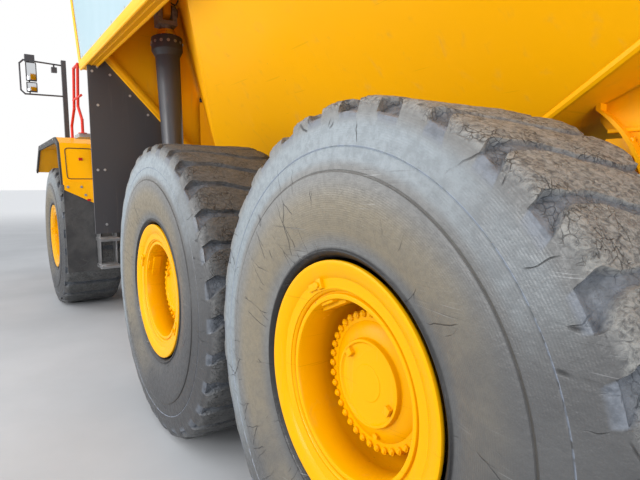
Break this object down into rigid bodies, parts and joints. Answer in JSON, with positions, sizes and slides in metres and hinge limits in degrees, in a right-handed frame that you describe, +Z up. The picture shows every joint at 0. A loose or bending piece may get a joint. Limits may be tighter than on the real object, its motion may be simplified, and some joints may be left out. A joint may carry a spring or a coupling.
{
  "type": "articulated dump truck",
  "caption": "Articulated dump truck with a tipping body, hoist cylinders, a steering hitch behind the cab, tilting hood and wide lugged tyres on dished rims.",
  "frame": {"origin": "on the ground at the middle of the truck's length and width", "axes": "+X forward, +Y to the left, +Z up"},
  "size_m": [11.264, 3.832, 3.77],
  "materials": {
    "tyre_rubber": "matte",
    "black_rubber": "matte",
    "rim_paint": "gloss",
    "yellow_paint": "gloss",
    "charcoal_paint": "satin",
    "red_paint": "gloss",
    "white_paint": "gloss",
    "pale_plate": "satin",
    "bare_steel": "worn",
    "chrome": "polished",
    "dark_plastic": "matte",
    "glass": "clear",
    "clear_lens": "clear",
    "red_lens": "clear"
  },
  "bodies": {
    "load_frame": {"rear_frame": "charcoal_paint", "bogie_beams": "charcoal_paint", "axle_middle": "charcoal_paint", "axle_rear": "charcoal_paint", "tail_lamps": "red_lens"},
    "hitch": {"hitch": "charcoal_paint"},
    "tractor": {"front_frame": "charcoal_paint", "front_axle": "charcoal_paint", "engine_block": "charcoal_paint", "fender_panels": "yellow_paint", "fender_lips": "black_rubber", "cab_shell": "yellow_paint", "cab_roof": "white_paint", "cab_glass": "glass", "cab_interior": "dark_plastic", "steps": "bare_steel", "handrails": "red_paint", "mirrors": "charcoal_paint", "headlamps": "clear_lens", "exhaust": "bare_steel", "tanks": "charcoal_paint"},
    "hood": {"hood": "yellow_paint"},
    "cab_door": {"cab_door": "yellow_paint", "door_glass": "glass"},
    "bed": {"bed_shell": "yellow_paint", "splash_plates": "charcoal_paint", "sign_plates": "pale_plate"},
    "hoist_barrel_left": {"hoist_barrel_left": "charcoal_paint"},
    "hoist_stage_a_left": {"hoist_stage_a_left": "chrome"},
    "hoist_stage_b_left": {"hoist_stage_b_left": "chrome"},
    "hoist_rod_left": {"hoist_rod_left": "chrome"},
    "steer_barrel_left": {"steer_barrel_left": "charcoal_paint"},
    "steer_rod_left": {"steer_rod_left": "chrome"},
    "hoist_barrel_right": {"hoist_barrel_right": "charcoal_paint"},
    "hoist_stage_a_right": {"hoist_stage_a_right": "chrome"},
    "hoist_stage_b_right": {"hoist_stage_b_right": "chrome"},
    "hoist_rod_right": {"hoist_rod_right": "chrome"},
    "steer_barrel_right": {"steer_barrel_right": "charcoal_paint"},
    "steer_rod_right": {"steer_rod_right": "chrome"},
    "wheel_front_left": {"tyre_front_left": "tyre_rubber", "rim_front_left": "rim_paint"},
    "wheel_front_right": {"tyre_front_right": "tyre_rubber", "rim_front_right": "rim_paint"},
    "wheel_middle_left": {"tyre_middle_left": "tyre_rubber", "rim_middle_left": "rim_paint"},
    "wheel_middle_right": {"tyre_middle_right": "tyre_rubber", "rim_middle_right": "rim_paint"},
    "wheel_rear_left": {"tyre_rear_left": "tyre_rubber", "rim_rear_left": "rim_paint"},
    "wheel_rear_right": {"tyre_rear_right": "tyre_rubber", "rim_rear_right": "rim_paint"}
  },
  "joints": [
    {"name": "hitch_roll", "type": "hinge", "parent": "load_frame", "child": "hitch", "pos_m": [0.7, 0, 1.15], "axis": [1, 0, 0], "continuous": true},
    {"name": "steering", "type": "hinge", "parent": "hitch", "child": "tractor", "pos_m": [1.254, 0, 1.15], "axis": [0, 0, 1], "range_deg": [-45, 45]},
    {"name": "hood_tilt", "type": "hinge", "parent": "tractor", "child": "hood", "pos_m": [5.547, 0, 1.395], "axis": [0, 1, 0], "range_deg": [0, 60]},
    {"name": "cab_door_swing", "type": "hinge", "parent": "tractor", "child": "cab_door", "pos_m": [2.35, 0.825, 2.8], "axis": [0, 0, -1], "range_deg": [0, 75]},
    {"name": "bed_tip", "type": "hinge", "parent": "load_frame", "child": "bed", "pos_m": [-4.497, 0, 1.42], "axis": [0, -1, 0], "range_deg": [0, 70]},
    {"name": "wheel_front_left_spin", "type": "hinge", "parent": "tractor", "child": "wheel_front_left", "pos_m": [2.531, 1.318, 0.93], "axis": [0, 1, 0], "continuous": true},
    {"name": "wheel_front_right_spin", "type": "hinge", "parent": "tractor", "child": "wheel_front_right", "pos_m": [2.531, -1.318, 0.93], "axis": [0, 1, 0], "continuous": true},
    {"name": "wheel_middle_left_spin", "type": "hinge", "parent": "load_frame", "child": "wheel_middle_left", "pos_m": [-1.987, 1.318, 0.93], "axis": [0, 1, 0], "continuous": true},
    {"name": "wheel_middle_right_spin", "type": "hinge", "parent": "load_frame", "child": "wheel_middle_right", "pos_m": [-1.987, -1.318, 0.93], "axis": [0, 1, 0], "continuous": true},
    {"name": "wheel_rear_left_spin", "type": "hinge", "parent": "load_frame", "child": "wheel_rear_left", "pos_m": [-3.927, 1.318, 0.93], "axis": [0, 1, 0], "continuous": true},
    {"name": "wheel_rear_right_spin", "type": "hinge", "parent": "load_frame", "child": "wheel_rear_right", "pos_m": [-3.927, -1.318, 0.93], "axis": [0, 1, 0], "continuous": true},
    {"name": "hoist_barrel_left_tilt", "type": "hinge", "parent": "load_frame", "child": "hoist_barrel_left", "pos_m": [-0.842, 1.1, 1.25], "axis": [0, -1, 0], "range_deg": [0, 46.62]},
    {"name": "hoist_stage_a_left_slide", "type": "slide", "parent": "hoist_barrel_left", "child": "hoist_stage_a_left", "axis": [0.0726, 0, 0.9974], "range_m": [0, 1.3279]},
    {"name": "hoist_stage_b_left_slide", "type": "slide", "parent": "hoist_stage_a_left", "child": "hoist_stage_b_left", "axis": [0.0726, 0, 0.9974], "range_m": [0, 1.3279]},
    {"name": "hoist_rod_left_slide", "type": "slide", "parent": "hoist_stage_b_left", "child": "hoist_rod_left", "axis": [0.0726, 0, 0.9974], "range_m": [0, 1.3279]},
    {"name": "steer_barrel_left_swing", "type": "hinge", "parent": "hitch", "child": "steer_barrel_left", "pos_m": [0.7, 0.33, 0.8], "axis": [0, 0, 1], "range_deg": [-24.52, 24.52]},
    {"name": "steer_rod_left_slide", "type": "slide", "parent": "steer_barrel_left", "child": "steer_rod_left", "axis": [1, 0, 0], "range_m": [-0.2534, 0.2534]},
    {"name": "hoist_barrel_right_tilt", "type": "hinge", "parent": "load_frame", "child": "hoist_barrel_right", "pos_m": [-0.842, -1.1, 1.25], "axis": [0, -1, 0], "range_deg": [0, 46.62]},
    {"name": "hoist_stage_a_right_slide", "type": "slide", "parent": "hoist_barrel_right", "child": "hoist_stage_a_right", "axis": [0.0726, 0, 0.9974], "range_m": [0, 1.3279]},
    {"name": "hoist_stage_b_right_slide", "type": "slide", "parent": "hoist_stage_a_right", "child": "hoist_stage_b_right", "axis": [0.0726, 0, 0.9974], "range_m": [0, 1.3279]},
    {"name": "hoist_rod_right_slide", "type": "slide", "parent": "hoist_stage_b_right", "child": "hoist_rod_right", "axis": [0.0726, 0, 0.9974], "range_m": [0, 1.3279]},
    {"name": "steer_barrel_right_swing", "type": "hinge", "parent": "hitch", "child": "steer_barrel_right", "pos_m": [0.7, -0.33, 0.8], "axis": [0, 0, 1], "range_deg": [-24.52, 24.52]},
    {"name": "steer_rod_right_slide", "type": "slide", "parent": "steer_barrel_right", "child": "steer_rod_right", "axis": [1, 0, 0], "range_m": [-0.2534, 0.2534]}
  ],
  "couplings": [
    {"joint": "hoist_barrel_left_tilt", "follows": "bed_tip", "ratio": 0.66526},
    {"joint": "hoist_stage_a_left_slide", "follows": "bed_tip", "m_per_rad": 1.0861},
    {"joint": "hoist_stage_b_left_slide", "follows": "bed_tip", "m_per_rad": 1.0861},
    {"joint": "hoist_rod_left_slide", "follows": "bed_tip", "m_per_rad": 1.0861},
    {"joint": "steer_barrel_left_swing", "follows": "steering", "ratio": 0.54263},
    {"joint": "steer_rod_left_slide", "follows": "steering", "m_per_rad": -0.32141},
    {"joint": "hoist_barrel_right_tilt", "follows": "bed_tip", "ratio": 0.66526},
    {"joint": "hoist_stage_a_right_slide", "follows": "bed_tip", "m_per_rad": 1.0861},
    {"joint": "hoist_stage_b_right_slide", "follows": "bed_tip", "m_per_rad": 1.0861},
    {"joint": "hoist_rod_right_slide", "follows": "bed_tip", "m_per_rad": 1.0861},
    {"joint": "steer_barrel_right_swing", "follows": "steering", "ratio": 0.54263},
    {"joint": "steer_rod_right_slide", "follows": "steering", "m_per_rad": 0.32141}
  ]
}
